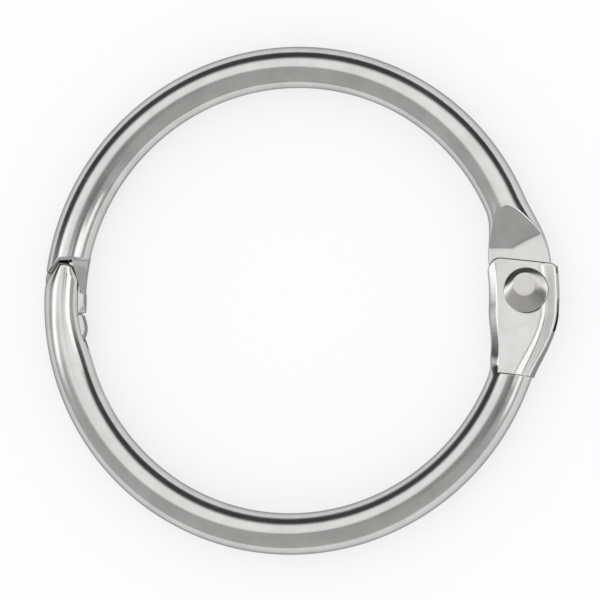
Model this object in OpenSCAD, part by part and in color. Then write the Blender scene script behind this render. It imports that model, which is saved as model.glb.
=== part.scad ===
// Binder ring: two rolled sheet-metal halves, hinged on a rivet and closed by a snap tongue.
// The ring lies flat round the Z axis, with its middle plane at z = 0. The hinge is at +X, the snap
// at -X, and the upper half is the one on the +Y side.
// Places on the ring are given as an angle about Z and an offset from the tube's centre line,
// which is positive outwards.

/* [Ring] */
// Clear diameter inside the closed ring
ring_inner_d = 38.1; // [30:0.1:80]
// Outside diameter of the rolled tube
tube_d = 3.7; // [3.5:0.05:4.2]
// Thickness of the sheet that the halves are rolled from
sheet = 0.5; // [0.4:0.05:0.6]
// Gap between the two rolled edges, along the inner side of the tube
seam_gap = 0.24; // [0.1:0.02:0.5]

/* [Hinge] */
// Angle from the ring's X axis to the rivet
pivot_angle = 1; // [0:0.1:3]
// How far the rivet lies outside the tube's centre line
pivot_offset = 0.4; // [0:0.05:0.6]
// Diameter of the rivet's shank
shank_d = 2.0; // [1.4:0.05:2.6]
// Diameter of the rivet's formed heads
rivet_head_d = 4.0; // [3.2:0.05:4.6]
// Height of each rivet head
rivet_head_h = 0.8; // [0.5:0.05:1]
// Diameter of the flat on top of the front head
rivet_flat_d = 2.1; // [1:0.05:3]
// Radial clearance of the blade's hole on the shank
pivot_clearance = 0.05; // [0.02:0.01:0.1]
// Clearance between the blade and each ear
side_clearance = 0.05; // [0.02:0.01:0.15]
// Reach of the blade's rounded end beyond the rivet's centre
blade_reach = 2.6; // [2:0.05:3]
// Width of the blade inwards from the tube's centre line
blade_in = 2.95; // [2.4:0.05:3.2]
// Width of the blade outwards from the tube's centre line
blade_out = 2.6; // [2.2:0.05:3]
// Width of the ears inwards from the tube's centre line
ear_in = 3.08; // [2.6:0.02:3.6]
// Width of the ears outwards from the tube's centre line
ear_out = 3.1; // [2.6:0.02:3.6]
// Height of the ears' top edge above the rivet's centre, on the centre line
ear_top = 2.75; // [2.2:0.05:3.4]
// Slant of the ears' top edge, down towards the outside
ear_top_slant = 7; // [0:0.5:12]
// Angle below the X axis where the ears begin on the tube
ear_foot_angle = 19.4; // [16:0.2:24]
// Half thickness across the ears where they meet the tube
ear_foot_half = 1.62; // [1.3:0.02:1.75]
// Distance below the rivet's centre to the closed end of the slot in the ears' outer wall
slot_depth = 3.6; // [3.2:0.1:4.2]

/* [Snap] */
// Angle where the upper half's front wall is cut back, at its crown
mouth_angle = 168.9; // [160:0.1:172]
// Gap in plan between the nose and the lip that the mouth leaves outside it
mouth_gap = 0.12; // [0.08:0.01:0.3]
// Angle where that lip ends
lip_angle = 173.8; // [172:0.1:175]
// Angle of the tip of the lower half's nose
nose_angle = 171; // [170:0.1:173]
// Radius of the lower half's neck
neck_r = 1.42; // [1.3:0.02:1.6]
// Half width of the blunt tip of the nose
nose_tip_r = 0.6; // [0.5:0.02:0.9]
// Angle where the nose's rounding ends and the neck begins
nose_end_angle = 176.5; // [174:0.1:178]
// Angle where the neck has opened out to the full tube
neck_end_angle = 197; // [190:0.5:205]
// Thickness of the tongue
tongue_t = 1.0; // [0.8:0.05:1.2]
// Thickness of the tongue's rounded snap head
snap_head_t = 1.3; // [1.1:0.05:1.4]
// Clearance round the tongue and its head in the lower half
snap_clearance = 0.06; // [0.04:0.01:0.1]
// How far the tongue stands in from the tube's centre line
tongue_in = 2.0; // [1.9:0.02:2.1]
// Angle where the tongue's ramp ends and its flat begins
tongue_flat_angle = 176.2; // [174:0.1:178]
// Angle of the catch face at the bottom of the tongue's notch
catch_angle = 182.4; // [180:0.1:184]
// Angle of the tongue's tip
tongue_tip_angle = 190.6; // [188:0.1:192]

/* [Hidden] */
tube_r = tube_d / 2;
bore_r = tube_r - sheet;
centre_r = ring_inner_d / 2 + tube_r;
pivot_x = (centre_r + pivot_offset) * cos(pivot_angle);
pivot_y = (centre_r + pivot_offset) * sin(pivot_angle);
blade_half = sheet;                       // the blade is two layers of sheet pressed together
ear_gap_half = blade_half + side_clearance;
ear_half = ear_gap_half + sheet;
ear_shoulder = 1.35;                      // radial width of the ears' outer rim, with its coined step
coin_top = 0.4;                           // radial width of the coined step at the rivet
coin_foot = 0.7;                          // and at the foot
coin_slope = 0.47;                        // fall of the coined step with each mm outwards
rim_slope = 0.18;                         // fall of the rim outside it
ear_edge = 0.15;                          // rounding of the rim's outer edge
ear_lip = 0.5;                            // radial width of the ears' inner lip
ear_lip_drop = 0.38;                      // how far that lip is bent down
ear_level_angle = 6.5;                    // the ears are level above this angle below the X axis
ramp_top_angle = 21.2;                    // angle where the ramps are pressed into the crown
ramp_step = 0.13;                         // depth of the ramps' edge at the crown
ramp_step_angle = 0.3;                    // angle taken up by that edge
ramp_fall = 0.13;                         // how far a ramp falls with each degree
ramp_twist = 0.025;                       // how much faster it falls with each mm outwards
ramp_tilt = 0.1;                          // how far it rises with each mm outwards
blade_wall_r = 1.6;                       // half height of the round walls that the ramps cut
least_cut = 0.3;                          // least share of the width given to the face's flat
neck_points = 8;                          // points on each quarter of the neck's section
flat_points = 2;                          // how many of them lie on the flat
bore_end_angle = 15.5;                    // angle where the tube's bore is pressed shut
blade_flare_top = 23.5;                   // angle where the upper half begins to widen
blade_flare_foot = 9;                     // angle where it has its full width
blade_end_angle = -9;                     // lower than the blade's rounded end reaches
tube_end_angle = lip_angle + 1;           // beyond the mouth, which cuts the upper tube off
seam_end = 0.08;                          // half width of the seam where the bore is pressed shut
ear_flare_foot = 21;                      // angle below the X axis where the ears begin to widen
ear_flare_top = 3;                        // angle below the X axis where they have their full width
ear_end_angle = 13;                       // above the ears' top edge
ear_outer_corner = 0.5;                   // radius of the ears' outer top corner
ear_inner_corner = 1.2;                   // radius of the ears' inner top corner
head_rim = 0.3;                           // height of the upright rim round a rivet head
tail_flat_d = 2.6;                        // diameter of the flat on the rivet's closing head
tongue_out = -0.2;                        // where the tongue's outer edge lies from the centre line
tongue_points = 6;                        // points along each face of the tongue's section
tongue_wrap = 66;                         // how far round the tube the tongue's root reaches
root_angle = mouth_angle + 0.1;           // where the tongue's ramp leaves the tube
notch_angle = catch_angle - 1.9;          // where the tongue's notch begins
head_peak_angle = tongue_tip_angle - 2.4; // where the snap head stands out most
head_waist = 0.1;                         // hollow in the inner edge between notch and head
head_round = 0.6;                         // how far the inner edge turns in at the tip
head_thinning = 0.33;                     // how much each face of the head falls away to the tip
root_ease = 2;                            // angle over which the tongue's edge leaves the tube's wall
catch_step = 0.2;                         // angle taken up by the catch face
notch_depth = 0.55;                       // depth of the tongue's notch
snap_room = 0.25;                         // room beyond the tongue's outer edge as it swings
nose_clearance = 0.1;                     // gap between the nose and the root of the tongue
lips_close = 1.6;                         // angle beyond the tongue's tip where the lips have closed
snap_gap_half = snap_head_t / 2 + snap_clearance;
lap = 0.4;                                // angle by which a lofted end runs into the tube it joins
shy = 0.012;                              // how much smaller it is there, so that faces never touch
past = 1;                                 // angle by which a cut runs past what it cuts
far = 60;                                 // longer than any cut needs
corner_points = 7;                        // points on each rounded corner of a lofted section
nose_steps = 10;                          // steps along the nose's arch
short_steps = 8;                          // steps along a short loft
ear_steps = 12;                           // steps along the ears' slope
blade_steps = 26;                         // steps along the blade and its ramps
tube_fn = 72;
round_fn = 96;
arc_fn = 180;

// ---- lofts -------------------------------------------------------------------------------------

function ramp(t) = let (c = min(1, max(0, t))) c * c * (3 - 2 * c);
function blend(a, b, t) = a + (b - a) * t;
function share(x, from, to) = (x - from) / (to - from);
function steps(from, to, n) = [for (i = [0:n]) blend(from, to, i / n)];

// A round section, as a ring of points that runs over the face, down the outer side and back.
function round_section(r) = [
    for (quarter = [0:3], i = [0:corner_points - 1])
        let (a = 90 * quarter + (i + 0.5) * 90 / corner_points)
        r * [sin(a), cos(a)]
];

function place(p, angle) = [
    (centre_r + p[0]) * cos(angle),
    (centre_r + p[0]) * sin(angle),
    p[1]
];

// A solid through sections that stand at given angles round the ring, angles rising.
module loft(sections, angles) {
    n = len(sections[0]);
    last = len(sections) - 1;
    points = [for (k = [0:last]) for (p = sections[k]) place(p, angles[k])];
    sides = [
        for (k = [0:last - 1], i = [0:n - 1])
            let (j = (i + 1) % n, a = k * n, b = a + n)
            each [[a + i, b + i, a + j], [a + j, b + i, b + j]]
    ];
    start_cap = [[for (i = [0:n - 1]) i]];
    end_cap = [[for (i = [n - 1:-1:0]) last * n + i]];
    polyhedron(points, concat(start_cap, sides, end_cap));
}

// A round bar along the tube's centre line.
module round_arc(r, from, to) {
    rotate([0, 0, from])
        rotate_extrude(angle = to - from, $fn = arc_fn)
            translate([centre_r, 0]) circle(r = r, $fn = tube_fn);
}

// The slit between the rolled edges, on the inner side of the tube.
module seam_arc(from, to) {
    rotate([0, 0, from])
        rotate_extrude(angle = to - from, $fn = arc_fn)
            translate([centre_r - tube_r - sheet, -seam_gap / 2])
                square([2 * sheet + tube_r / 2, seam_gap]);
}

// ---- upper half --------------------------------------------------------------------------------

// Height of the pressed ramp above the ring's middle plane, at an offset from the centre line.
function ramp_height(angle, offset) =
    let (
        fall = ramp_fall + ramp_twist * max(0, offset + blade_half),
        slope = tube_r - ramp_step + ramp_tilt * offset - fall * (ramp_top_angle - angle)
    )
    angle > ramp_top_angle + ramp_step_angle ? tube_r
    : max(blade_half, slope + ramp_step * max(0, (angle - ramp_top_angle) / ramp_step_angle));

// Share of a side's width at which the ramp cuts the round wall, found by closing in on it.
function cut_share(angle, width, wall_r, wall, cut, turns = 12) =
    turns == 0 ? cut
    : let (z = min((ramp_height(angle, width * cut) - wall) / wall_r, 1))
        cut_share(angle, width, wall_r, wall, (cut + sqrt(1 - z * z)) / 2, turns - 1);

// Upper half of one side of the neck's section, from the middle to the side: the ramp's flat, then the
// round wall that it leaves. The wall is left off inside, to give the bore.
function neck_side(angle, width, wall_r, wall) =
    let (
        cut = max(cut_share(angle, width, wall_r, wall, 0.5), least_cut),
        from = asin(cut)
    )
    [for (i = [0:neck_points - 1])
        let (
            a = i < flat_points ? asin(cut * (i + 0.5) / flat_points)
                : blend(from, 90, (i - flat_points) / (neck_points - flat_points))
        )
        [width * sin(a), min(wall_r * cos(a), ramp_height(angle, width * sin(a)) - wall)]];

function neck_section(angle, wall) =
    let (
        wide = 1 - ramp(share(angle, blade_flare_foot, blade_flare_top)),
        wall_r = blend(tube_r - shy, blade_wall_r, wide) - wall,
        outer = neck_side(angle, blend(tube_r - shy, blade_out, wide) - wall, wall_r, wall),
        inner = neck_side(angle, wall - blend(tube_r - shy, blade_in, wide), wall_r, wall),
        last = neck_points - 1
    )
    concat(
        outer, [for (i = [last:-1:0]) [outer[i][0], -outer[i][1]]],
        [for (p = inner) [p[0], -p[1]]], [for (i = [last:-1:0]) inner[i]]
    );

module neck_outside() {
    angles = concat(steps(blade_end_angle, ramp_top_angle, blade_steps), [ramp_top_angle + ramp_step_angle],
        steps(ramp_top_angle + past, blade_flare_top, 3), [blade_flare_top + lap]);
    loft([for (a = angles) neck_section(a, 0)], angles);
}

module neck_bore() {
    angles = concat(steps(bore_end_angle, blade_flare_top, short_steps), [blade_flare_top + 2 * lap]);
    loft([for (a = angles) neck_section(a, sheet + shy)], angles);
}

// Keeps the blade's rounded end and everything on the tube's side of the rivet.
module blade_end_keep() {
    linear_extrude(far, center = true) {
        translate([pivot_x, pivot_y]) circle(r = blade_reach, $fn = round_fn);
        translate([0, pivot_y]) square([far, far]);
    }
}

// The tube's end is cut back straight in front and behind, and round the nose's arch, so that a lip
// is left outside the nose.
module mouth_cut() {
    arch = [for (a = steps(nose_angle, lip_angle, nose_steps))
        (centre_r + nose_half(a) + mouth_gap) * [cos(a), sin(a)]];
    linear_extrude(far, center = true)
        polygon(concat(
            [(centre_r - 2 * tube_r) * [cos(mouth_angle), sin(mouth_angle)]],
            [(centre_r + nose_tip_r + mouth_gap) * [cos(mouth_angle), sin(mouth_angle)]],
            arch,
            [(centre_r + 2 * tube_r) * [cos(lip_angle), sin(lip_angle)]],
            [(centre_r + 2 * tube_r) * [cos(lip_angle + 4), sin(lip_angle + 4)]],
            [(centre_r - 2 * tube_r) * [cos(lip_angle + 4), sin(lip_angle + 4)]]
        ));
}

// The tongue's section goes from the inner part of the tube's round wall to a flat strip. Its
// points run in over the back, round the inner edge and out over the front.
function tongue_ring(r, w_in, half, w_out, flat) = [
    for (up = [-1, 1], i = [0:tongue_points])
        let (
            k = up < 0 ? i : tongue_points - i,
            turn = (tongue_points - k + 0.5) / (tongue_points + 0.5),
            wall = [-r * cos(tongue_wrap * turn), r * sin(tongue_wrap * turn)],
            bend = 90 * min(1, 2 * turn),
            rounded = [-w_in + half * (1 - cos(bend)), half * sin(bend)],
            strip = turn < 0.5 ? rounded : [blend(-w_in + half, -w_out, 2 * turn - 1), half],
            p = blend(wall, strip, flat)
        )
        [p[0], up * p[1]]
];

// Offset of the tongue's inner edge, inwards from the centre line.
function tongue_edge(angle) =
    angle < notch_angle ? blend(tube_r - shy, tongue_in, ramp((angle - root_angle) / root_ease))
    : angle < catch_angle ? tongue_in - notch_depth * share(angle, notch_angle, catch_angle)
    : angle < head_peak_angle
    ? tongue_in - head_waist * sin(180 * share(angle, catch_angle, head_peak_angle))
    : tongue_in - head_round * pow(share(angle, head_peak_angle, tongue_tip_angle), 3);

// Half the tongue's thickness, which thins towards the tip.
function tongue_half(angle) =
    angle < catch_angle ? tongue_t / 2
    : snap_head_t / 2 - (angle < head_peak_angle ? 0
        : head_thinning * pow(share(angle, head_peak_angle, tongue_tip_angle), 2));

module tongue() {
    angles = concat([root_angle - 2 * lap], steps(root_angle, tongue_flat_angle, short_steps),
        steps(tongue_flat_angle + past, notch_angle, 3), [catch_angle - catch_step],
        steps(catch_angle, head_peak_angle, 5), steps(head_peak_angle + lap, tongue_tip_angle, 5));
    loft([for (a = angles) tongue_ring(tube_r - shy, tongue_edge(a), tongue_half(a), -tongue_out,
        ramp(share(a, root_angle, tongue_flat_angle)))], angles);
}

// The room that the nose needs in front of and behind the tongue.
module nose_room() {
    difference() {
        nose(nose_clearance);
        cube([far, far, 2 * (snap_gap_half - shy)], center = true);
    }
}

module upper_tube() {
    difference() {
        round_arc(tube_r, blade_flare_top, tube_end_angle);
        round_arc(bore_r, blade_flare_top - past, tube_end_angle + past);
        seam_arc(blade_flare_top - past, tube_end_angle + past);
        mouth_cut();
    }
}

module upper_neck() {
    intersection() {
        difference() {
            neck_outside();
            neck_bore();
            slit([bore_end_angle + past, blade_flare_top + 2 * lap], [seam_end, seam_gap / 2 - shy],
                -tube_r / 2);
        }
        blade_end_keep();
    }
}

module upper_tongue() {
    difference() {
        tongue();
        round_arc(bore_r + shy, root_angle - past, root_angle + lap);
        nose_room();
    }
}

module upper_half() {
    color([0.80, 0.80, 0.78])
    difference() {
        union() {
            upper_tube();
            upper_neck();
            upper_tongue();
        }
        translate([pivot_x, pivot_y])
            cylinder(d = shank_d + 2 * pivot_clearance, h = far, center = true, $fn = round_fn);
    }
}

// ---- lower half --------------------------------------------------------------------------------

// Radius of the snap end: a neck, and then the full tube.
function snap_end_r(angle) =
    blend(neck_r, tube_r - shy, ramp(share(angle, nose_end_angle, neck_end_angle)));

// Half width of the nose's arched outline, which is blunt at its tip.
function nose_half(angle) =
    let (k = share(max(angle, nose_angle), nose_end_angle, nose_angle))
    neck_r * sqrt(1 - (1 - pow(nose_tip_r / neck_r, 2)) * pow(k, 2));

// Corners of the nose's outline on one side, in plan.
function nose_edge(side, grow) = [
    for (a = steps(nose_angle, nose_end_angle, nose_steps))
        let (r = centre_r + side * (nose_half(a) + grow))
        r * [cos(a), sin(a)]
];

// Keeps the arched nose and everything beyond it.
module nose_keep(grow) {
    tip = nose_angle - grow / centre_r * 180 / PI;
    inner = nose_edge(-1, grow);
    outer = nose_edge(1, grow);
    linear_extrude(far, center = true)
        polygon(concat(
            [(centre_r - nose_tip_r - grow) * [cos(tip), sin(tip)]], inner,
            [(centre_r - neck_r - far / 4) * [cos(nose_end_angle), sin(nose_end_angle)]],
            [[-far / 8, -far], [-far, -far], [-far, 0]],
            [(centre_r + neck_r + far / 4) * [cos(nose_end_angle), sin(nose_end_angle)]],
            [for (i = [nose_steps:-1:0]) outer[i]],
            [(centre_r + nose_tip_r + grow) * [cos(tip), sin(tip)]]
        ));
}

module nose(grow) {
    angles = concat([nose_angle - 2 * past], steps(nose_end_angle, neck_end_angle, short_steps),
        [neck_end_angle + lap]);
    fine = concat(steps(nose_angle - 2 * past, nose_end_angle - past, short_steps),
        [for (i = [1:len(angles) - 1]) angles[i]]);
    intersection() {
        loft([for (a = fine) round_section(snap_end_r(a) + grow)], fine);
        nose_keep(grow);
    }
}

module nose_bore() {
    angles = concat(steps(nose_angle - 3 * past, nose_end_angle, short_steps),
        steps(nose_end_angle + past, neck_end_angle, short_steps), [neck_end_angle + lap]);
    loft([for (a = angles) round_section(snap_end_r(a) - sheet - shy)], angles);
}

// A slit on the inner side whose half width and depth follow the angle.
module slit(angles, halves, deep) {
    loft([for (h = halves) [[deep, h], [deep, -h], [-2 * tube_r, -h], [-2 * tube_r, h]]], angles);
}

// Half thickness across the ears: level at the rivet, then a straight slope out to the foot.
function ear_slope(angle) =
    blend(ear_half, ear_foot_half, max(0, share(-angle, ear_level_angle, ear_foot_angle)));

// Upper half of one side of a section, from the face to the side. Each side has as many points.
function round_side(width, half) = [
    for (i = [0:corner_points - 1])
        let (a = (i + 0.5) * 90 / corner_points)
        [width * sin(a), half * cos(a)]
];

// The ears' outer side: a coined step along the face, a flat rim, and the rolled edge below it.
function ear_outer_side(width, half, step_w) =
    let (
        step_z = half - step_w * coin_slope,
        rim_z = step_z - (ear_shoulder - step_w - ear_edge) * rim_slope,
        edge_z = rim_z - ear_edge
    )
    [
        [width - ear_shoulder, half], [width - ear_shoulder + step_w, step_z],
        [width - ear_edge, rim_z], [width - ear_edge / 4, (rim_z + edge_z) / 2],
        [width, edge_z], [width, edge_z * 2 / 3], [width, edge_z / 3]
    ];

// The ears' inner side: a lip that is bent down, and its edge.
function ear_inner_side(width, half) =
    let (lip_z = half - ear_lip_drop)
    [
        [width - ear_lip, half], [width - ear_lip + ear_edge / 3, half - ear_edge / 4],
        [width - ear_edge / 3, lip_z], [width, lip_z - ear_edge / 2],
        [width, lip_z * 2 / 3], [width, lip_z / 2], [width, lip_z / 4]
    ];

function ear_section(angle, wall) =
    let (
        wide = ramp(share(-angle, ear_flare_foot, ear_flare_top)),
        formed = -angle > ear_foot_angle ? 0 : 1,
        pressed = ramp(share(-angle, ear_flare_foot, ear_foot_angle - 2 * past)),
        w_in = blend(tube_r - shy, ear_in, wide) - wall,
        w_out = blend(tube_r - shy, ear_out, wide) - wall,
        half_in = blend(tube_r - shy, ear_slope(angle), pressed),
        half_out = blend(tube_r - shy, ear_slope(angle), formed),
        step_w = blend(coin_foot, coin_top, wide),
        keep_in = (half_in - wall) / half_in,
        keep_out = (half_out - wall) / half_out,
        outer = [for (i = [0:corner_points - 1]) let (
            p = blend(round_side(w_out, half_out)[i], ear_outer_side(w_out, half_out, step_w)[i], formed)
        ) [p[0], p[1] * keep_out]],
        inner = [for (i = [0:corner_points - 1]) let (
            p = blend(round_side(w_in, half_in)[i], ear_inner_side(w_in, half_in)[i], wide)
        ) [-p[0], p[1] * keep_in]],
        last = corner_points - 1
    )
    concat(
        outer, [for (i = [last:-1:0]) [outer[i][0], -outer[i][1]]],
        [for (p = inner) [p[0], -p[1]]], [for (i = [last:-1:0]) inner[i]]
    );

module ears_outside() {
    angles = concat([-ear_flare_foot - lap, -ear_flare_foot, -ear_foot_angle - 2 * lap],
        [-ear_foot_angle - shy], steps(-ear_foot_angle + shy, -ear_level_angle, ear_steps),
        steps(-ear_level_angle + past, ear_end_angle, short_steps));
    loft([for (a = angles) ear_section(a, 0)], angles);
}

module ears_inside() {
    angles = concat([-ear_flare_foot - lap], steps(-ear_flare_foot, -ear_level_angle - past, short_steps));
    loft([for (a = angles) ear_section(min(a, -ear_level_angle), sheet + shy)], angles);
}

// What the ears keep below their slanted top edge, with a rounded corner on either side.
module ear_outline() {
    left = ear_in - ear_inner_corner;
    right = ear_out - ear_outer_corner;
    translate([centre_r, pivot_y + ear_top])
        rotate([0, 0, -ear_top_slant])
            linear_extrude(far, center = true) {
                translate([-left, -far]) square([left + right, far]);
                translate([-far, -far - ear_outer_corner]) square([2 * far, far + shy]);
                translate([right, -ear_outer_corner]) circle(r = ear_outer_corner, $fn = round_fn);
                translate([-left, -ear_inner_corner]) circle(r = ear_inner_corner, $fn = round_fn);
                translate([-far, -far - ear_inner_corner]) square([far, far]);
            }
}

// The space between the ears, open at the top, on the inner side and through the outer wall.
module blade_slot() {
    slot_end = pivot_y - slot_depth;
    translate([0, slot_end, -ear_gap_half])
        cube([far, far, 2 * ear_gap_half]);
}

module lower_tube() {
    foot = 360 - ear_flare_foot;
    difference() {
        round_arc(tube_r, neck_end_angle, foot);
        round_arc(bore_r, neck_end_angle - past, foot + past);
        seam_arc(neck_end_angle - past, foot + past);
    }
}

module lower_snap_end() {
    wide = steps(nose_angle - 4 * past, head_peak_angle + past, short_steps);
    narrow = [tongue_tip_angle + lips_close, neck_end_angle + 2 * lap];
    halves = concat([for (a = wide) snap_gap_half], [for (a = narrow) seam_gap / 2]);
    difference() {
        nose(0);
        nose_bore();
        slit(concat(wide, narrow), halves, tongue_out + snap_room);
    }
}

module lower_clevis() {
    difference() {
        intersection() {
            ears_outside();
            ear_outline();
        }
        ears_inside();
        blade_slot();
        slit([-ear_flare_foot - past, -ear_flare_foot + past, -ear_level_angle - past],
            [seam_gap / 2, seam_gap / 2, ear_gap_half - shy], 0);
    }
}

module lower_half() {
    color([0.80, 0.80, 0.78])
    difference() {
        union() {
            lower_tube();
            lower_snap_end();
            lower_clevis();
        }
        translate([pivot_x, pivot_y])
            cylinder(d = shank_d, h = far, center = true, $fn = round_fn);
    }
}

// ---- rivet -------------------------------------------------------------------------------------

// One head in half section, standing on the ears: a dome with a flat top.
module head_profile(flat_d) {
    base_r = rivet_head_d / 2;
    flat_r = flat_d / 2;
    dome_h = rivet_head_h - head_rim;
    sink = (base_r * base_r - flat_r * flat_r - dome_h * dome_h) / (2 * dome_h);
    square([base_r, head_rim]);
    translate([0, head_rim])
        intersection() {
            translate([0, -sink]) circle(r = norm([base_r, sink]), $fn = round_fn);
            square([base_r, dome_h]);
        }
}

module hinge_rivet() {
    color([0.72, 0.72, 0.70])
    translate([pivot_x, pivot_y])
        rotate_extrude($fn = round_fn) {
            translate([0, -ear_half]) square([shank_d / 2, 2 * ear_half]);
            translate([0, ear_half]) head_profile(rivet_flat_d);
            mirror([0, 1]) translate([0, ear_half]) head_profile(tail_flat_d);
        }
}

upper_half();
lower_half();
hinge_rivet();
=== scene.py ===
import math

import bpy
import numpy as np
from mathutils import Matrix, Vector


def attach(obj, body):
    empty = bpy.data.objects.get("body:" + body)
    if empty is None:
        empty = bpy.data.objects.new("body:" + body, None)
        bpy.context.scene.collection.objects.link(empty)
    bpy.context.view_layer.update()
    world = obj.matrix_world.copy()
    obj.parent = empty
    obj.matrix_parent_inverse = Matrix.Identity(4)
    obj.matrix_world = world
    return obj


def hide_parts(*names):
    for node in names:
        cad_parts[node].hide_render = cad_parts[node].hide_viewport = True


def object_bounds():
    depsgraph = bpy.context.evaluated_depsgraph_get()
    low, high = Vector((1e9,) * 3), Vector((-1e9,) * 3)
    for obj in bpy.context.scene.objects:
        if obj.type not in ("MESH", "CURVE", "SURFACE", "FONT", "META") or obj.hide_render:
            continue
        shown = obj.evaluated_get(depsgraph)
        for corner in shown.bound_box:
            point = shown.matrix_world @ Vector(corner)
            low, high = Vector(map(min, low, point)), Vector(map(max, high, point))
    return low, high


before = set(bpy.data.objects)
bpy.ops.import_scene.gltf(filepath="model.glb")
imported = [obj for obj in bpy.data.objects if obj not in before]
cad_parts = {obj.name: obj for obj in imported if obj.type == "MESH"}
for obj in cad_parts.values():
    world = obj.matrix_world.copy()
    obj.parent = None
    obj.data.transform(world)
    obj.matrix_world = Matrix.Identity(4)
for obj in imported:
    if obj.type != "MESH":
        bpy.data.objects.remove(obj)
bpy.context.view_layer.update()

MM = 0.001

# A hinged binder ring: two halves rolled from sheet steel, and the rivet of their hinge. Sizes are
# in millimetres and angles in degrees. An angle called deg runs round the ring from the X axis: the
# hinge is at 0 and the snap at 180. In a section, u is the offset outwards from the tube's centre
# line and z the height over the ring's middle plane. Sections are front halves: the back is their
# mirror image in that plane.

# ---- sizes that the pieces share ----------------------------------------------------------------
RING_R = 20.9                 # centre line of the tube
TUBE_R = 1.85
SHEET = 0.5
SEAM = 0.12                   # half the gap between the rolled edges
PIVOT = (21.29676, 0.37174)
EDGE = 0.06                   # rounding of the sheet's cut edges
CORNER = 0.03                 # rounding of the corners in a section

# ---- how finely curves are followed -------------------------------------------------------------
EDGE_MARKS = (0.12, 0.35, 0.7, 1.0)   # shares of EDGE where a rounded edge gets points
ARC_N = 260                   # points of a quarter of a section
SIDE_N = 60                   # points of a side of the ears
SOFTEN_N = 700                # points of a half section while its corners are rounded
FACE_LENGTH = 5.5             # rough length of a half section from its inner edge to its outer side
TURNS = 12                    # turns of a loop that settles on an angle


def smooth(x, a, b):
    """0 up to a, 1 from b on, and a soft step between them. b may be the lower one."""
    t = np.clip((np.asarray(x, float) - a) / (b - a), 0, 1)
    return t * t * (3 - 2 * t)


def mix(a, b, t):
    return a + (b - a) * t


def soft_min(a, b, k):
    """The lower of a and b, with a rounded corner where they cross."""
    a, b = np.asarray(a, float), np.asarray(b, float)
    return 0.5 * (a + b - np.sqrt((a - b) ** 2 + k * k)) + 0.25 * k


# ---- sections -----------------------------------------------------------------------------------

def lengths(p):
    """Length along a line of points, from its first one."""
    return np.r_[0, np.cumsum(np.hypot(*np.diff(p, axis=0).T))]


def pick_at(p, seg, s):
    """The points of a line at the lengths s."""
    return np.c_[np.interp(s, seg, p[:, 0]), np.interp(s, seg, p[:, 1])]


def half_round(w_in, w_out, height):
    """Half section of two quarter ellipses, from its inner side over the top to its outer side."""
    a = np.linspace(0, math.pi / 2, ARC_N)
    b = a[::-1]
    return np.r_[np.c_[-w_in * np.cos(a), height * np.sin(a)],
                 np.c_[w_out * np.cos(b), height * np.sin(b)]]


def soften(p):
    """Rounds the corners of a half section, with the other half mirrored beyond its ends."""
    seg = lengths(p)
    q = pick_at(p, seg, np.linspace(0, seg[-1], SOFTEN_N))
    step = seg[-1] / (SOFTEN_N - 1)
    k = max(1, int(3 * CORNER / step))
    kern = np.exp(-0.5 * ((np.arange(-k, k + 1) * step) / CORNER) ** 2)
    kern /= kern.sum()
    low = q[1:k + 1][::-1] * [1, -1]
    high = q[-k - 1:-1][::-1] * [1, -1]
    full = np.r_[low, q, high]
    out = np.c_[np.convolve(full[:, 0], kern, "valid"), np.convolve(full[:, 1], kern, "valid")]
    out[0, 1] = out[-1, 1] = 0
    return out


def columns(p, z_edge, z_slot, t1, t2):
    """Points of a half section from the inner edge at z_edge to the outer side: t1 are shares of
    the way to the place on the outer side where z falls to z_slot, t2 the shares of the rest."""
    seg = lengths(p)
    peak = int(np.argmax(p[:, 1]))
    s0 = np.interp(z_edge, p[:peak + 1, 1], seg[:peak + 1])
    s1 = np.interp(z_slot, p[peak:, 1][::-1], seg[peak:][::-1])
    s1 = max(s1, s0 + 1e-3)
    return pick_at(p, seg, np.r_[s0 + (s1 - s0) * t1, s1 + (seg[-1] - s1) * t2[1:]])


def shares(n, length, near_start, near_end=False):
    """Even shares of a length from 0 to 1, with extra ones close to an end with a rounded edge."""
    t = list(np.linspace(0, 1, n + 1))
    close = [EDGE * x / length for x in EDGE_MARKS]
    if near_start:
        t += close
    if near_end:
        t += [1 - c for c in close]
    return np.unique(np.round(t, 6))


def along(a, b, step, close_a=False, close_b=False):
    """Angles from a to b in even steps, with extra ones close to an end with a rounded edge."""
    t = list(np.linspace(a, b, max(1, int(math.ceil((b - a) / step))) + 1))
    close = [EDGE * x * math.degrees(1 / RING_R) for x in EDGE_MARKS]
    if close_a:
        t += [a + c for c in close]
    if close_b:
        t += [b - c for c in close]
    return t


def rows_of(stretches):
    """Angles of the rows, in rising order and each of them once. A stretch of rows is its two ends,
    its step, and whether its first and its last end have a rounded edge."""
    angles = [a for stretch in stretches for a in along(*stretch)]
    return np.array(sorted(set(np.round(angles, 5))))


# ---- closed meshes: a rolled sheet, and a form through rings of points --------------------------
MOST_ROUNDED = 0.45           # the most of the thickness that a cut edge's rounding takes
WALL_IN = 0.03                # how far beyond its rounding the flat of a cut edge has points


def place(u, z, deg):
    """Points in the ring's frame, from their place in a section and its angle."""
    r = RING_R + u
    a = np.radians(deg)
    return np.stack([r * np.cos(a), r * np.sin(a), z * np.ones_like(r)], axis=-1)


def reach(points, axis):
    """Length along the grid from its first line."""
    d = np.linalg.norm(np.diff(points, axis=axis), axis=-1)
    pad = [(0, 0), (0, 0)]
    pad[axis] = (1, 0)
    return np.pad(np.cumsum(d, axis=axis), pad)


def reach_back(points, axis):
    """Length along the grid from its last line."""
    return np.flip(reach(np.flip(points, axis), axis), axis)


def rounding(d):
    """How deep the rounding goes at a distance from a cut edge."""
    x = np.clip(EDGE - d, 0, EDGE)
    return EDGE - np.sqrt(np.maximum(EDGE * EDGE - x * x, 0))


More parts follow.
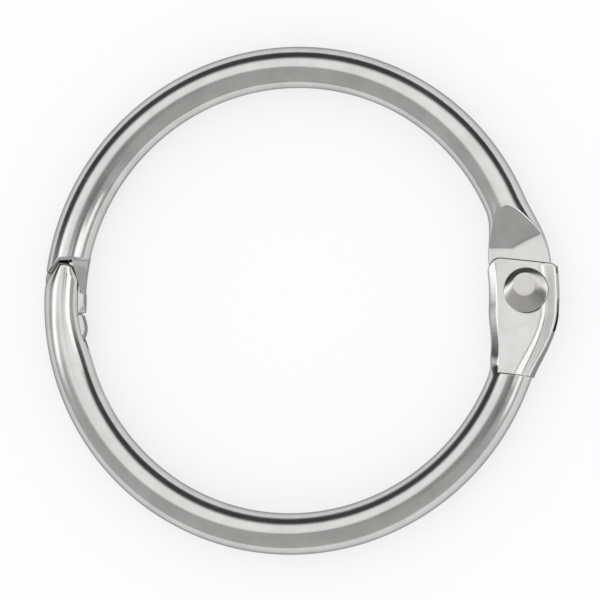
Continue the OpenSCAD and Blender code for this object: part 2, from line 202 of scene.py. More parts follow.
def new_mesh(name, verts, faces):
    mesh = bpy.data.meshes.new(name)
    mesh.from_pydata(verts, [], faces)
    mesh.validate()
    mesh.update()
    mesh.shade_smooth()
    return mesh


def sheet_mesh(name, outer, inner, slot=None):
    """A closed mesh between an outer and an inner grid of points, front and back. The cut edges are
    rounded. From the row and column of slot on, the sheet is cut away."""
    rows, cols = outer.shape[:2]
    gone = np.zeros((rows - 1, cols - 1), bool)
    d = np.minimum(np.minimum(reach(outer, 1), reach(outer, 0)), reach_back(outer, 0))
    if slot:
        row, col = slot
        gone[row:, col:] = True
        d[row:, :col + 1] = np.minimum(d[row:, :col + 1], reach_back(outer[row:, :col + 1], 1))
        d[:row + 1, col:] = np.minimum(d[:row + 1, col:], reach_back(outer[:row + 1, col:], 0))
    gap = inner - outer
    thick = np.maximum(np.linalg.norm(gap, axis=-1, keepdims=True), 1e-6)
    n = gap / thick
    dep = np.minimum(rounding(d)[..., None], thick * MOST_ROUNDED)

    def both(grid, flip):
        """A grid followed by its mirror image, which shares its last column."""
        back = grid[:, :-1][:, ::-1].copy()
        if flip:
            back[..., 2] *= -1
        return np.concatenate([grid, back], axis=1)

    o, i, n = both(outer + n * dep, True), both(inner - n * dep, True), both(n, True)
    thick, dep = both(thick, False), both(dep, False)
    gone = np.concatenate([gone, gone[:, ::-1]], axis=1)
    rows, cols = o.shape[:2]
    verts = list(o.reshape(-1, 3) * MM) + list(i.reshape(-1, 3) * MM)
    base = rows * cols
    faces = []
    extra = {}

    def at(r, c):
        return r * cols + c

    def full(r, c):
        return 0 <= r < rows - 1 and 0 <= c < cols - 1 and not gone[r, c]

    def wall_points(r, c):
        """Two points on the flat of a cut edge, the same ones for both walls that meet there."""
        if (r, c) not in extra:
            step = min(float(thick[r, c, 0]) * 0.5, float(dep[r, c, 0]) + WALL_IN)
            shift = n[r, c] * (step - dep[r, c, 0])
            extra[r, c] = len(verts)
            verts.append((o[r, c] + shift) * MM)
            verts.append((i[r, c] - shift) * MM)
        return extra[r, c], extra[r, c] + 1

    def wall(p, q):
        a1, a2 = wall_points(*p)
        b1, b2 = wall_points(*q)
        po, qo = at(*p), at(*q)
        faces.append((qo, po, a1, b1))
        faces.append((b1, a1, a2, b2))
        faces.append((b2, a2, base + po, base + qo))

    cells = [(r, c) for r in range(rows - 1) for c in range(cols - 1) if not gone[r, c]]
    for r, c in cells:
        q = (at(r, c), at(r, c + 1), at(r + 1, c + 1), at(r + 1, c))
        faces.append(q)
        faces.append(tuple(base + v for v in reversed(q)))
    for r, c in cells:
        if not full(r - 1, c):
            wall((r, c), (r, c + 1))
        if not full(r, c + 1):
            wall((r, c + 1), (r + 1, c + 1))
        if not full(r + 1, c):
            wall((r + 1, c + 1), (r + 1, c))
        if not full(r, c - 1):
            wall((r + 1, c), (r, c))
    return new_mesh(name, [tuple(v) for v in verts], faces)


def ring_mesh(name, rings):
    """A closed mesh through closed rings of points, with a flat cap at each end."""
    rows, cols = rings.shape[:2]
    faces = []
    for r in range(rows - 1):
        for c in range(cols):
            d = (c + 1) % cols
            faces.append((r * cols + c, r * cols + d, (r + 1) * cols + d, (r + 1) * cols + c))
    faces.append(tuple(range(cols))[::-1])
    faces.append(tuple((rows - 1) * cols + c for c in range(cols)))
    return new_mesh(name, [tuple(v) for v in rings.reshape(-1, 3) * MM], faces)


# ---- the cut ends that meet at the snap ---------------------------------------------------------
CURL = 0.34                   # length over which they are bent in
CURL_MOST = 0.9               # how far round the bend goes: 1 would be a quarter turn
LIP = 170.4                   # angle of the lip's line where it starts
LIP_START = 1.09              # offset where it starts, as the photograph's view shows it
LIP_WIDTH, LIP_SLANT = 0.76, 2.2      # the slant over the rest of the outer side, and its degrees
SEEN_U, SEEN_Z = 0.98, 0.2    # what u and z count for in that view


def curled(points, first, share=1.0):
    """Bends the first or last end of a tube inwards, over the curl's length."""
    d = reach(points, 0) if first else reach_back(points, 0)
    t = np.clip((CURL - d) / CURL, 0, 1)
    turn = np.arctan2(points[..., 1], points[..., 0])
    middle = np.stack([RING_R * np.cos(turn), RING_R * np.sin(turn), 0 * turn], axis=-1)
    inward = middle - points
    inward /= np.maximum(np.linalg.norm(inward, axis=-1, keepdims=True), 1e-6)
    depth = CURL * share * (1 - np.sqrt(1 - CURL_MOST * t ** 2))
    return points + inward * depth[..., None]


def lip_line(u):
    """Angle of the lip on the outer side, where it slants away from the mouth's straight front."""
    z = np.sqrt(np.maximum(TUBE_R ** 2 - u * u, 0))
    return LIP + LIP_SLANT * (SEEN_U * u + SEEN_Z * z - LIP_START) / LIP_WIDTH


def trimmed(rows, u, start, start_zone, end=None, end_zone=None):
    """Angles of a grid whose first line follows the start curve, and its last line the end curve if
    there is one. The rows up to start_zone and from end_zone on share out what that leaves them."""
    th = np.repeat(rows[:, None], u.shape[1], axis=1)
    k = (rows[:, None] - rows[0]) / (start_zone - rows[0])
    s = start(u)
    th = np.where(k < 1, s + (start_zone - s) * k, th)
    if end is not None:
        k = (rows[:, None] - end_zone) / (rows[-1] - end_zone)
        th = np.where(k > 0, end_zone + (end(u) - end_zone) * k, th)
    return th


# ---- upper half: blade, ramps, tube and mouth ---------------------------------------------------
BLADE_HALF = 0.5              # half its thickness
BLADE_REACH = 2.6             # radius of its rounded end about the pivot
BLADE_IN, BLADE_OUT = 2.95, 2.6       # its width on either side of the centre line
BLADE_MORE = 0.35             # it is wider by this inside the slot
MORE_FROM, MORE_TO = 5.5, 3.5         # angles over which it gets wider
BLADE_EDGE = 0.012            # half the gap between the sheet's edges there
OPEN_FROM, OPEN_TO = 13, 22   # angles over which that gap opens to the seam
PRESSED_R = 1.6               # height of the section that the ramps are pressed into
WIDE_FROM, WIDE_TO = 9, 23.5  # angles over which the blade narrows to the tube
ROUND_FROM = 23.6             # the tube is round from here on
RAMP_TOP, RAMP_END = 21.2, 0.3        # angle of the ramp's top, and degrees of the step above it
RAMP_FALL = 0.13              # its fall for each degree, and the height of that step
RAMP_TWIST, RAMP_LEAN = 0.025, 0.1    # more fall and more height, for each mm outwards
RAMP_SOFT = 0.06              # rounding where it meets the blade
CLEAR = 4.0                   # lifts the ramp's plane off the tube beyond the step
MOUTH_Y = 3.82                # the mouth's straight cut, measured from the X axis
SIDE_FROM, SIDE_TO = 0.6, 0.8         # offsets between which the lip's line takes over
BLADE_ZONE, MOUTH_ZONE = 6.0, 166.0   # the rows up to the first and from the second on are trimmed
LIP_ROWS = 160                # the inner face's rows follow the outer face's from here on
UPPER_ROWS = [(-9, 24, 0.35), (24, LIP_ROWS, 1.6), (LIP_ROWS, 172.8, 0.14, False, True)]
UPPER_COLUMNS = (60, 7)       # above and below this height on the outer side:
LOW_Z = 0.3
INSET, NOT_TOUCHING = 0.45, 0.004     # the inner face: in from the sides, and off the middle plane


def ramp_height(deg, u):
    """Height of the pressed ramp over the middle plane, or of the blade where that is higher."""
    fall = RAMP_FALL + RAMP_TWIST * np.maximum(0, u + BLADE_HALF)
    z = TUBE_R - RAMP_FALL + RAMP_LEAN * u - fall * (RAMP_TOP - deg)
    z = z + RAMP_FALL * max(0.0, (deg - RAMP_TOP) / RAMP_END)
    z = z + (CLEAR if deg > RAMP_TOP + RAMP_END else 0.0)
    return -soft_min(-z, -BLADE_HALF, RAMP_SOFT)


def pressed_inside(p, w_in, w_out):
    """The sheet's inner face in a pressed section: a thickness below the outer face, and in from
    its sides. It closes at the sides, and elsewhere its front and back don't quite touch."""
    k = np.abs(p[:, 0]) / np.where(p[:, 0] < 0, w_in, w_out)
    z = np.maximum(p[:, 1] - SHEET * (1 - k ** 4), NOT_TOUCHING)
    z = np.where(k > 0.98, z * np.clip((1 - k) / 0.02, 0, 1), z)
    return np.c_[p[:, 0] - np.sign(p[:, 0]) * INSET * k, z]


def upper_grid(inner_side):
    """The rows of the upper half, and for each the columns of the sheet's outer or inner face."""
    t1 = shares(UPPER_COLUMNS[0], FACE_LENGTH, True)
    t2 = shares(UPPER_COLUMNS[1], LOW_Z, False)
    rows = rows_of(UPPER_ROWS)
    cuts = []
    for deg in rows:
        wide = 1 - float(smooth(deg, WIDE_FROM, WIDE_TO))
        w_in, w_out = mix(TUBE_R, BLADE_IN, wide), mix(TUBE_R, BLADE_OUT, wide)
        w_out += BLADE_MORE * float(smooth(deg, MORE_FROM, MORE_TO))
        edge = mix(BLADE_EDGE, SEAM, float(smooth(deg, OPEN_FROM, OPEN_TO)))
        low = LOW_Z
        if deg > ROUND_FROM:
            p = half_round(TUBE_R, TUBE_R, TUBE_R)
            if inner_side:
                p = p * ((TUBE_R - SHEET) / TUBE_R)
        else:
            p = half_round(w_in, w_out, mix(TUBE_R, PRESSED_R, wide))
            p[:, 1] = np.minimum(p[:, 1], ramp_height(deg, p[:, 0]))
            p = soften(p)
            if inner_side:
                p = pressed_inside(p, w_in, w_out)
                top = float(p[:, 1].max())
                edge, low = min(edge, top * 0.6), min(low, top * 0.5)
        cuts.append(columns(p, edge, low, t1, t2))
    return rows, np.array(cuts)


def mouth_end(u):
    """Angle where the mouth cuts the tube: straight across the face, then down the outer side."""
    u = np.asarray(u, float)
    straight = 180 - np.degrees(np.arcsin(MOUTH_Y / (RING_R + u)))
    return mix(straight, np.maximum(lip_line(u), straight), smooth(u, SIDE_FROM, SIDE_TO))


def blade_start(u):
    """Angle of the blade's rounded end, at an offset from the centre line."""
    r = RING_R + np.asarray(u, float)
    deg = np.zeros_like(r)
    for _ in range(TURNS):
        x = r * np.cos(np.radians(deg)) - PIVOT[0]
        drop = np.sqrt(np.maximum(BLADE_REACH ** 2 - x * x, 0))
        deg = np.degrees(np.arcsin((PIVOT[1] - drop) / r))
    return deg


def build_upper():
    rows, out = upper_grid(False)
    _, ins = upper_grid(True)
    u, u_in = out[..., 0], ins[..., 0]
    th = trimmed(rows, u, blade_start, BLADE_ZONE, mouth_end, MOUTH_ZONE)
    th_in = trimmed(rows, u_in, blade_start, BLADE_ZONE)
    th_in = np.where(rows[:, None] > LIP_ROWS, th, th_in)
    share = 1 - smooth(u, 0.55, 0.8)              # the lip's outer side isn't curled
    return sheet_mesh("upper_shell", curled(place(u, out[..., 1], th), False, share),
                      curled(place(u_in, ins[..., 1], th_in), False, share))


# ---- tongue -------------------------------------------------------------------------------------
ROOT = 168.9                  # where it comes out of the tube
CATCH, TIP = 182.4, 190.6     # the notch's catch, and the end of the head
PEAK = TIP - 2.4              # the head thins from here on
TONGUE_OUT = 0.2              # its outer side lies this far inside the centre line
TONGUE_HALF, HEAD_HALF = 0.6, 0.65    # half the thickness before and behind the catch
HEAD_THIN = 0.33              # what the tip loses of it
# Angle, and how far the tongue reaches inwards there: a root, a notch with a catch, a rounded head.
TONGUE_EDGE = [
    (ROOT - 1, TUBE_R - 0.012), (176, TUBE_R),
    (CATCH - 0.12, TUBE_R + 0.04), (CATCH + 0.02, 1.5), (CATCH + 0.4, 1.5), (CATCH + 0.5, 1.68),
    (184.5, 1.8), (185.7, 1.85), (187, 1.83), (188.2, 1.68), (189.4, 1.42), (TIP, 1.05)]
SIDE_PARTS = (5, 10, 9, 12)   # points of the side, the facet, the short edge and the front face
TONGUE_ROWS = [
    (ROOT - 1.2, CATCH - 0.3, 0.12), (CATCH - 0.25, CATCH + 0.8, 0.04), (CATCH + 0.85, PEAK, 0.15),
    (PEAK + 0.05, TIP, 0.08)]


def tongue_edge(deg):
    return float(np.interp(deg, *zip(*TONGUE_EDGE)))


def tongue_half(deg):
    half = mix(TONGUE_HALF, HEAD_HALF, float(smooth(deg, CATCH + 0.3, CATCH + 0.8)))
    return half - (HEAD_THIN * ((deg - PEAK) / (TIP - PEAK)) ** 2 if deg > PEAK else 0)


def tongue_corners(deg):
    """Corners of the tongue's front half: the side, the foot and the top of the slanted facet, and
    both ends of the flat front face."""
    w, half = tongue_edge(deg), tongue_half(deg)
    stops = [                 # angle, offset and height of the facet's top, height of its foot
        (ROOT, -0.64, 1.67, 0.42),
        (170, -0.74, 1.52, 0.37),
        (172.2, -1.06, 1.18, 0.36),
        (175, -1.38, 0.82, 0.34),
        (177.2, -1.6, half, 0.34),
        (177.5, -w + 0.05, half, half - 0.05),
        (CATCH - 2.2, -w + 0.05, half, half - 0.05),
        (CATCH - 0.15, -w + 0.5, half, half - 0.35),
        (CATCH + 0.5, -w + 0.03, half, half - 0.03),
        (TIP, -w + 0.03, half, half - 0.03)]
    angles, *tracks = zip(*stops)
    top_u, top_z, foot_z = (float(np.interp(deg, angles, t)) for t in tracks)
    face_u = max(top_u + 0.03, -w + 0.4)
    return [(-w, 0), (-w, foot_z), (top_u, top_z), (face_u, half), (-TONGUE_OUT, half)]


def tongue_ring(deg):
    """A whole section of the tongue, with more points close to its corners."""
    c = tongue_corners(deg)
    side = []
    for (a, b), n in zip(zip(c, c[1:]), SIDE_PARTS):
        for k in range(1, n + 1):
            x = 0.5 - 0.5 * math.cos(math.pi * k / n)
            side.append((mix(a[0], b[0], x), mix(a[1], b[1], x)))
    side = np.array(side)
    return np.r_[side[::-1] * [1, -1], [c[0]], side][::-1]


def build_tongue():
    rings = [place(*tongue_ring(deg).T, deg) for deg in rows_of(TONGUE_ROWS)]
    return ring_mesh("tongue_form", np.array(rings))


# ---- lower half: nose, neck, tube and clevis ----------------------------------------------------
# The clevis has its angles counted down from the X axis, called below: deg is 360 less that.
NOSE, NOSE_SLANT = 170.1, 1.4         # the nose's tip, and how far its sides fall back from it
NOSE_FLAT, NOSE_SIDE = 0.45, 1.3      # offsets between which they do
SNAP_ZONE = 177.5             # the nose's rounded start spreads over the rows up to here
CROWN_R, CROWN_FROM, CROWN_TO = 0.82, 177, 171    # crown at the nose's tip, and where it narrows
FLANK_WIDE, FLANK_LEAN = 88, 56       # lean of the crown's flanks before and after it narrows
LEAN_FROM, LEAN_TO = 176.5, 173
LIP_ROOM, FREE_ROOM = 1.33, 3.0       # radius left for the nose under the lips, and beyond them
NECK_R = 1.42
NECK_FROM, NECK_END = 180.5, 197.0    # angles over which the neck widens to the tube
SNAP_GAP = 0.71               # half the gap that is open for the tongue
CLEVIS = 21                   # the tube is formed into the clevis from here up
EAR_FOOT = 19.4               # foot of the flat ears
EAR_LIPPED, EAR_WIDE = 15.5, 3        # where they have their inner lip and their full width
EAR_LEVEL, EAR_BEND = 6.5, 5.0        # they rise below the first, bending this far to either side
EAR_IN, EAR_OUT = 3.08, 3.1
EAR_HALF, EAR_FOOT_HALF = 1.05, 1.62
EAR_GAP = 0.55                # half the slot for the blade
GAP_FROM, GAP_TO = 20, 10.4   # where the seam starts to widen, and where it is the slot
SLOT_Y = PIVOT[1] - 3.6       # the slot's bottom on the outer side
SLOT = 360 + math.degrees(math.asin(SLOT_Y / (RING_R + EAR_OUT)))     # its angle
EAR_TOP, EAR_SLANT = 2.75, 7.0        # height of the ears' top over the pivot, and its slant
CORNER_OUT, CORNER_IN = 0.5, 1.2      # radii of its corners
EAR_CHAMFER, CHAMFER_DROP = 0.14, 0.09    # length of the bevel there, and its share of the height
STEP_IN, STEP_FALL = 1.35, 0.47       # the coined step's place before the side, and its slope
STEP_WIDE, STEP_NARROW = 0.7, 0.4     # its width at the foot and at the top
RIM_FALL, ROLLED = 0.18, 0.15         # slope of the rim beyond it, and size of the rolled edge
BENT_DOWN, BENT_WIDE, BENT_ROUND = 0.38, 0.8, 0.08    # the bent inner lip: fall, width, rounding
FOOT_ROWS = 5                 # degrees over which the rows shift near the foot
FOOT_SHIFT, FOOT_LEAN = 0.4, 0.6      # the shift there, and how much less it is for each mm of u
BACK_FROM, BACK_TO = 14, 9    # where the ears' inner face turns into the slot's flat wall
LOWER_ROWS = [
    (NOSE, 173.4, 0.08, True), (173.4, 179, 0.2), (179, 198, 0.4), (198, 338, 2.2),
    (338, 341.6, 0.09), (341.6, SLOT, 0.3, False, True), (SLOT, 368.5, 0.3, True, True)]
LOWER_COLUMNS = (54, 6)       # above and below the slot's wall
COLUMNS_FROM, COLUMNS_TO = 250, 300   # angles over which the columns shift to that wall


def nose_start(u):
    """Angle of the nose's rounded tip, at an offset from the centre line."""
    return NOSE + NOSE_SLANT * smooth(np.abs(u), NOSE_FLAT, NOSE_SIDE)


def ridge(x, r, lean):
    """Height of a rounded ridge with straight flanks, at a distance from its middle."""
    a = math.radians(lean)
    top = TUBE_R - r + np.sqrt(np.maximum(r * r - x * x, 0))
    flank = TUBE_R - r * (1 - math.cos(a)) - (x - r * math.sin(a)) * math.tan(a)
    return np.where(x < r * math.sin(a), top, flank)


def snap_outline(deg, wall):
    """Half section of the snap end, wall inside its outer face: a nose whose crown narrows to the
    tip and whose sides go under the lips of the other half, and a neck on the inner side, which
    leaves room for the tongue."""
    narrow = float(np.clip((CROWN_FROM - deg) / (CROWN_FROM - CROWN_TO), 0, 1)) ** 2.2
    lean = mix(FLANK_WIDE, FLANK_LEAN, float(smooth(deg, LEAN_FROM, LEAN_TO)))
    t = np.linspace(0, math.pi / 2, ARC_N)

    def side(width):
        x = width * np.sin(t)
        crown = ridge(x, mix(width, CROWN_R, narrow), lean)
        return x, np.minimum(TUBE_R * np.cos(t), np.maximum(crown, 0))

    x, z = side(TUBE_R)
    here = mix(nose_start(x), SNAP_ZONE, (deg - NOSE) / (SNAP_ZONE - NOSE))
    beyond = smooth(here, lip_line(x) + 0.04, lip_line(x) + 0.2)
    fit = np.minimum(1, mix(LIP_ROOM, FREE_ROOM, beyond) / np.maximum(np.hypot(x, z), 1e-6))
    out = np.c_[x, z] * fit[:, None]
    x, z = side(mix(NECK_R, TUBE_R, float(smooth(deg, NECK_FROM, NECK_END))))
    p = np.r_[np.c_[-x, z][::-1], out[1:]]
    size = np.hypot(p[:, 0], p[:, 1])
    return soften(p * ((size - wall) / size)[:, None])


def snap_edge(deg):
    """Half the gap between the inner edges: open for the tongue, and the seam behind it."""
    return float(np.interp(deg, [PEAK + 1, TIP + 1.6], [SNAP_GAP, SEAM]))


def round_side(width, half):
    a = np.linspace(0, math.pi / 2, SIDE_N)
    return np.c_[width * np.sin(a), half * np.cos(a)]


def spread(corners):
    """Even points along a line of corners."""
    p = np.array(corners, float)
    seg = lengths(p)
    return pick_at(p, seg, np.linspace(0, seg[-1], SIDE_N))


def ear_outer_side(width, half, step_w):
    """From the face: a coined step, a flat rim and the rolled edge below it."""
    step_z = half - step_w * STEP_FALL
    rim_z = step_z - (STEP_IN - step_w - ROLLED) * RIM_FALL
    edge_z = rim_z - ROLLED
    return [(0, half), (width - STEP_IN, half), (width - STEP_IN + step_w, step_z),
            (width - ROLLED, rim_z), (width - ROLLED / 4, (rim_z + edge_z) / 2), (width, edge_z),
            (width, 0)]


def ear_inner_side(width, half):
    """From the face: a lip that is bent down, and its edge."""
    lip_z = half - BENT_DOWN
    return [(0, half), (width - BENT_WIDE - BENT_ROUND, half), (width - BENT_WIDE, half - 0.03),
            (width - BENT_ROUND, lip_z), (width, lip_z - BENT_ROUND), (width, 0)]


def ear_outline(below, wall):
    """Half section of the clevis, wall inside its outer face, at degrees below the X axis."""
    wide = float(smooth(below, CLEVIS, EAR_WIDE))
    lipped = float(smooth(below, CLEVIS, EAR_LIPPED))
    formed = float(smooth(below, EAR_FOOT + 0.1, EAR_FOOT - 0.1))
    pressed = float(smooth(below, CLEVIS, EAR_FOOT - 2))
    rise = below - EAR_LEVEL
    if abs(rise) < EAR_BEND:
        rise = (rise + EAR_BEND) ** 2 / (4 * EAR_BEND)
    slope = mix(EAR_HALF, EAR_FOOT_HALF, max(0.0, rise) / (EAR_FOOT - EAR_LEVEL))
    w_in = mix(TUBE_R, EAR_IN, wide) - wall
    w_out = mix(TUBE_R, EAR_OUT, wide) - wall
    h_in = mix(TUBE_R, slope, pressed)
    h_out = mix(TUBE_R, slope, formed)
    step_w = mix(STEP_WIDE, STEP_NARROW, wide)
    out = mix(round_side(w_out, h_out), spread(ear_outer_side(w_out, h_out, step_w)), formed)
    ins = mix(round_side(w_in, h_in), spread(ear_inner_side(w_in, h_in)), lipped)
    out[:, 1] *= (h_out - wall) / h_out
    ins[:, 1] *= (mix(h_out, h_in, smooth(ins[:, 0], 0.35, 1.0)) - wall) / h_in
    ins[:, 0] *= -1
    return soften(np.r_[ins[::-1], out[1:]])


def clevis_edge(below):
    """Half the gap between the sheet's inner edges: the seam, widening into the ears' slot."""
    opened = float(np.clip((GAP_FROM - below) / (GAP_FROM - GAP_TO), 0, 1)) ** 1.3
    return mix(SEAM, EAR_GAP, opened)


def ear_top_end(u):
    """Angle of the ears' top edge, with its slant and rounded corners, at an offset."""
    r = RING_R + np.asarray(u, float)
    tilt = math.radians(EAR_SLANT)
    left, right = EAR_IN - CORNER_IN, EAR_OUT - CORNER_OUT

    def corner(radius, past):
        """How far a rounded corner drops below the edge, at a distance past its start."""
        return np.sqrt(np.maximum(radius ** 2 - np.maximum(past, 0) ** 2, 0)) - radius

    deg = np.full_like(r, 7.0)
    for _ in range(TURNS):
        x = r * np.cos(np.radians(deg)) - RING_R
        lx = x / math.cos(tilt)       # the place along the slanted edge
        for _ in range(3):
            ly = np.minimum(corner(CORNER_OUT, lx - right), corner(CORNER_IN, -left - lx))
            lx = (x - ly * math.sin(tilt)) / math.cos(tilt)
        y = PIVOT[1] + EAR_TOP - lx * math.sin(tilt) + ly * math.cos(tilt)
        deg = np.degrees(np.arcsin(y / r))
    return deg


def lower_section(deg):
    """Outer and inner half sections of the lower half, the height of the inner edge, and the height
    at which the slot is cut on the outer side."""
    below = 360 - deg
    if below <= CLEVIS:
        return (ear_outline(below, 0.0), ear_outline(max(below, EAR_LEVEL), SHEET),
                clevis_edge(below), EAR_GAP)
    z_slot = mix(0.45 * TUBE_R, EAR_GAP, float(smooth(deg, COLUMNS_FROM, COLUMNS_TO)))
    if deg < NECK_END:
        return snap_outline(deg, 0.0), snap_outline(deg, SHEET), snap_edge(deg), z_slot
    bore = TUBE_R - SHEET
    return half_round(TUBE_R, TUBE_R, TUBE_R), half_round(bore, bore, bore), SEAM, z_slot


def build_lower():
    t1 = shares(LOWER_COLUMNS[0], FACE_LENGTH, True, True)
    t2 = shares(LOWER_COLUMNS[1], 0.6, True)
    rows = rows_of(LOWER_ROWS)
    n1 = len(t1)
    out, ins = [], []
    for deg in rows:
        p, p_in, edge, z_slot = lower_section(deg)
        c = columns(p, edge, z_slot, t1, t2)
        top = float(p_in[:, 1].max())
        q = columns(p_in, min(edge, top * 0.97), min(z_slot, top * 0.8), t1, t2)
        if 360 - deg < BACK_FROM:
            flat = q.copy()
            flat[:n1, 0] = np.clip(c[:n1, 0], -EAR_IN + 0.03, EAR_OUT - 0.06)
            flat[:n1, 1] = EAR_GAP
            q = mix(q, flat, float(smooth(360 - deg, BACK_FROM, BACK_TO)))
        out.append(c)
        ins.append(q)

    def grid(a):
        u, z = a[..., 0], a[..., 1]
        th = trimmed(rows, u, nose_start, SNAP_ZONE, lambda w: 360 + ear_top_end(w), SLOT)
        foot = np.exp(-((rows[:, None] - 360 + EAR_FOOT) / FOOT_ROWS) ** 2)
        return curled(place(u, z, th - (FOOT_SHIFT - FOOT_LEAN * u) * foot), True)

    outer = grid(np.array(out))
    worn = np.clip(1 - reach_back(outer, 0) / EAR_CHAMFER, 0, 1)
    outer[..., 2] *= 1 - CHAMFER_DROP * worn
    slot_row = int(np.argmin(abs(rows - SLOT)))
    return sheet_mesh("lower_shell", outer, grid(np.array(ins)), slot=(slot_row, n1 - 1))


# ---- rivet --------------------------------------------------------------------------------------
HEAD_R, HEAD_RIM, HEAD_H = 2.0, 0.44, 0.8     # radius, height of the rim and of the whole head
FLAT_R, BACK_FLAT_R = 1.0, 1.3        # radius of the struck flat, in front and behind
FLAT_OFF = (-0.04, 0.44)      # the front flat is off the middle
SHANK_R = 1.0
DOME_N, ROUND_N = 24, 128     # rings of the dome, and points of a ring


def rivet_profile(flat_r, sign):
    """Radius, height and share of the flat's offset, from a head's foot to its flat."""
    pts = [(HEAD_R - 0.05, 0.0, 0), (HEAD_R - 0.012, 0.02, 0), (HEAD_R, 0.05, 0),
           (HEAD_R, HEAD_RIM - 0.02, 0)]
    for k in range(DOME_N, 0, -1):
        s = k / DOME_N
        r = mix(flat_r, HEAD_R, s) - (0.012 if k == DOME_N else 0)
        pts.append((r, HEAD_RIM + (HEAD_H - HEAD_RIM) * (1 - s ** 1.25), 1 - s))
    pts += [(flat_r - 0.03, HEAD_H, 1), (flat_r * 0.7, HEAD_H, 1), (flat_r * 0.35, HEAD_H, 1),
            (0.0, HEAD_H, 1)]
    return [(r, sign * (EAR_HALF + z), share if sign > 0 else 0) for r, z, share in pts]


def build_rivet():
    profile = rivet_profile(BACK_FLAT_R, -1)[::-1]
    profile += [(SHANK_R, -EAR_HALF, 0), (SHANK_R, EAR_HALF, 0)] + rivet_profile(FLAT_R, 1)
    verts, faces, rings = [], [], []
    for r, z, share in profile:
        x, y = PIVOT[0] + share * FLAT_OFF[0], PIVOT[1] + share * FLAT_OFF[1]
        first = len(verts)
        for k in range(1 if r < 1e-9 else ROUND_N):
            a = 2 * math.pi * k / ROUND_N
            verts.append(((x + r * math.cos(a)) * MM, (y + r * math.sin(a)) * MM, z * MM))
        rings.append(list(range(first, len(verts))))
    for a, b in zip(rings, rings[1:]):
        for k in range(ROUND_N):
            m = (k + 1) % ROUND_N
            if len(a) == 1:
                faces.append((a[0], b[m], b[k]))
            elif len(b) == 1:
                faces.append((a[k], a[m], b[0]))
            else:
                faces.append((a[k], a[m], b[m], b[k]))
    mesh = new_mesh("rivet_form", verts, faces)
    mesh.set_sharp_from_angle(angle=math.radians(40))
    return mesh


# ---- materials ----------------------------------------------------------------------------------
RIM_SHADE_TINT = 0.35              # painted shade: how bright the plate stays where it is seen at a low angle, dulling the rims' reflections as if they mirrored dark surroundings
CLOUD = (420.0, 4.0, 0.6)     # mottling a few mm across: scale for each metre, detail, roughness
GRAIN = (3800.0, 3.0, 0.55)   # pits a few tenths of a mm across
PIT_DEPTH = 0.00002           # in metres


def nodes_of(name):
    mat = bpy.data.materials.new(name)
    mat.use_nodes = True
    tree = mat.node_tree
    tree.nodes.clear()
    return mat, tree


def node(tree, kind, **values):
    n = tree.nodes.new(kind)
    for k, v in values.items():
        setattr(n, k, v)
    return n


def link(tree, a, b):
    tree.links.new(a, b)


def grey(level):
    return (level, level, level, 1)


def ramp(tree, source, stops, interpolation="LINEAR"):
    """A colour ramp over pairs of a place and a grey level, or a place and a colour."""
    n = node(tree, "ShaderNodeValToRGB")
    n.color_ramp.interpolation = interpolation
    while len(n.color_ramp.elements) < len(stops):
        n.color_ramp.elements.new(0.5)
    for e, (pos, value) in zip(n.color_ramp.elements, stops):
        e.position = pos
        e.color = (*value, 1) if isinstance(value, tuple) else grey(value)
    link(tree, source, n.inputs["Fac"])
    return n.outputs["Color"]


def math_node(tree, op, *values):
    n = node(tree, "ShaderNodeMath", operation=op)
    for socket, v in zip(n.inputs, values):
        if isinstance(v, (int, float)):
            socket.default_value = v
        else:
            link(tree, v, socket)
    return n.outputs[0]


def noise(tree, where, scale, detail, roughness):
    n = node(tree, "ShaderNodeTexNoise")
    n.inputs["Scale"].default_value = scale
    n.inputs["Detail"].default_value = detail
    n.inputs["Roughness"].default_value = roughness
    link(tree, where, n.inputs["Vector"])
    return n.outputs["Fac"]


def nickel(name, low, high, rough_low, rough_high, bump):
    """Bright nickel plate over rolled steel: a faint mottling, fine pits and a soft haze, with
    painted shade that dulls its reflections where it is seen at a low angle.
    """
    mat, tree = nodes_of(name)
    out = node(tree, "ShaderNodeOutputMaterial")
    shader = node(tree, "ShaderNodeBsdfPrincipled")
    link(tree, shader.outputs[0], out.inputs["Surface"])
    shader.inputs["Metallic"].default_value = 1.0
    # painted shade: a grey edge tint darkens the plate's reflections at low angles, so the rims
    # look as if they mirrored dark surroundings
    shader.inputs["Specular Tint"].default_value = grey(RIM_SHADE_TINT)
    where = node(tree, "ShaderNodeTexCoord").outputs["Object"]
    cloud = noise(tree, where, *CLOUD)
    grain = noise(tree, where, *GRAIN)
    link(tree, ramp(tree, cloud, [(0.32, low), (0.66, high)]), shader.inputs["Base Color"])
    both = math_node(tree, "ADD", math_node(tree, "MULTIPLY", cloud, 0.6),
                     math_node(tree, "MULTIPLY", grain, 0.4))
    haze = ramp(tree, both, [(0.35, rough_low), (0.65, rough_high)])
    link(tree, haze, shader.inputs["Roughness"])
    pits = node(tree, "ShaderNodeBump")
    pits.inputs["Strength"].default_value = bump
    pits.inputs["Distance"].default_value = PIT_DEPTH
    link(tree, grain, pits.inputs["Height"])
    link(tree, pits.outputs["Normal"], shader.inputs["Normal"])
    return mat


tube_nickel = nickel("nickel_plate", (0.58, 0.575, 0.564), (0.665, 0.66, 0.648), 0.1, 0.17, 0.12)
rivet_nickel = nickel("rivet_nickel", (0.56, 0.549, 0.528), (0.63, 0.62, 0.60), 0.14, 0.22, 0.12)


def piece(name, meshes, body, node_name, mat):
    """One object of one or more meshes, which stands for a CAD node and rides on its body."""
    objects = []
    for k, mesh in enumerate(meshes):
        mesh.materials.clear()
        mesh.materials.append(mat)
        o = bpy.data.objects.new(name if k == 0 else name + "_part", mesh)
        bpy.context.scene.collection.objects.link(o)
        objects.append(o)
    if len(objects) > 1:
        with bpy.context.temp_override(active_object=objects[0], selected_editable_objects=objects,
                                       selected_objects=objects, object=objects[0]):
            bpy.ops.object.join()
    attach(objects[0], body)
    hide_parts(node_name)


